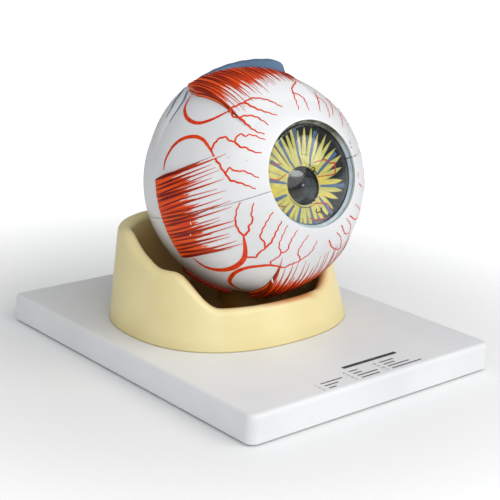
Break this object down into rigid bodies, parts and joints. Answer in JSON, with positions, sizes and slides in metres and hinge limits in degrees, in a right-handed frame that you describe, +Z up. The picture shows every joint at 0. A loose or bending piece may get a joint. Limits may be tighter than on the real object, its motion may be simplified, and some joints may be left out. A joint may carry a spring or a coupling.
{
  "type": "eye anatomy model",
  "caption": "Dissectible eyeball model in an orbit-shaped stand on a flat board; the ball opens at a seam and its inner parts lift out.",
  "frame": {"origin": "under the middle of the board, on the table it stands on", "axes": "+Z up, +Y to the board's back edge, -Y the front edge that the eye looks over, +X to the right seen from the front"},
  "size_m": [0.204, 0.254, 0.1903],
  "materials": {
    "board": "satin moulded, faintly pebbled",
    "rubber_feet": "matt",
    "stand_cream": "satin, airbrushed brown in the hollow",
    "screw_steel": "zinc plated",
    "sclera_white": "satin white paint with hand-painted vessels",
    "muscle_red": "hand-painted fibres in maroon over orange-red",
    "tendon_blue": "satin steel-blue paint",
    "nerve_sheath": "satin cream paint",
    "nerve_core": "satin yellow paint with a red and a blue vessel",
    "pin_brass": "turned",
    "choroid_brown": "satin dark brown paint with vessels",
    "retina_orange": "satin orange paint with vessels",
    "clear_resin": "polished clear resin",
    "lens_clear": "polished clear resin",
    "iris_paint": "hand-painted yellow and blue rays over black",
    "ciliary_brown": "satin red-brown paint",
    "cornea_clear": "polished clear acrylic"
  },
  "bodies": {
    "stand": {"baseboard": "board", "board_feet": "rubber_feet", "orbit_stand": "stand_cream", "stand_screws": "screw_steel"},
    "eye_lower": {"sclera_lower": "sclera_white", "inferior_rectus": "muscle_red", "inferior_oblique": "muscle_red", "lateral_rectus_lower": "muscle_red", "medial_rectus_lower": "muscle_red", "optic_nerve_sheath": "nerve_sheath", "optic_nerve": "nerve_core", "locating_pins": "pin_brass"},
    "eye_upper": {"sclera_upper": "sclera_white", "superior_rectus": "muscle_red", "superior_oblique_tendon": "tendon_blue", "lateral_rectus_upper": "muscle_red", "medial_rectus_upper": "muscle_red"},
    "choroid_lower": {"choroid_lower": "choroid_brown", "retina_lower": "retina_orange"},
    "choroid_upper": {"choroid_upper": "choroid_brown", "retina_upper": "retina_orange"},
    "vitreous": {"vitreous_body": "clear_resin"},
    "lens": {"lens": "lens_clear"},
    "iris": {"iris": "iris_paint", "ciliary_body": "ciliary_brown"},
    "cornea": {"cornea": "cornea_clear"}
  },
  "joints": [
    {"name": "eye_lift", "type": "slide", "parent": "stand", "child": "eye_lower", "axis": [0, 0, 1], "range_m": [0, 0.12]},
    {"name": "upper_half_lift", "type": "slide", "parent": "eye_lower", "child": "eye_upper", "axis": [-0.1911, 0.2975, 0.9354], "range_m": [0, 0.15]},
    {"name": "choroid_upper_lift", "type": "slide", "parent": "eye_lower", "child": "choroid_upper", "axis": [-0.1911, 0.2975, 0.9354], "range_m": [0, 0.1125]},
    {"name": "vitreous_lift", "type": "slide", "parent": "eye_lower", "child": "vitreous", "axis": [-0.1911, 0.2975, 0.9354], "range_m": [0, 0.0675]},
    {"name": "choroid_lower_lift", "type": "slide", "parent": "eye_lower", "child": "choroid_lower", "axis": [-0.1911, 0.2975, 0.9354], "range_m": [0, 0.03]},
    {"name": "cornea_pull", "type": "slide", "parent": "eye_lower", "child": "cornea", "axis": [-0.0858, -0.9544, 0.286], "range_m": [0, 0.07]},
    {"name": "iris_pull", "type": "slide", "parent": "vitreous", "child": "iris", "axis": [-0.0858, -0.9544, 0.286], "range_m": [0, 0.042]},
    {"name": "lens_pull", "type": "slide", "parent": "vitreous", "child": "lens", "axis": [-0.0858, -0.9544, 0.286], "range_m": [0, 0.021]}
  ],
  "couplings": [
    {"joint": "choroid_upper_lift", "follows": "upper_half_lift", "ratio": 0.75},
    {"joint": "vitreous_lift", "follows": "upper_half_lift", "ratio": 0.45},
    {"joint": "choroid_lower_lift", "follows": "upper_half_lift", "ratio": 0.2},
    {"joint": "iris_pull", "follows": "cornea_pull", "ratio": 0.6},
    {"joint": "lens_pull", "follows": "cornea_pull", "ratio": 0.3}
  ]
}
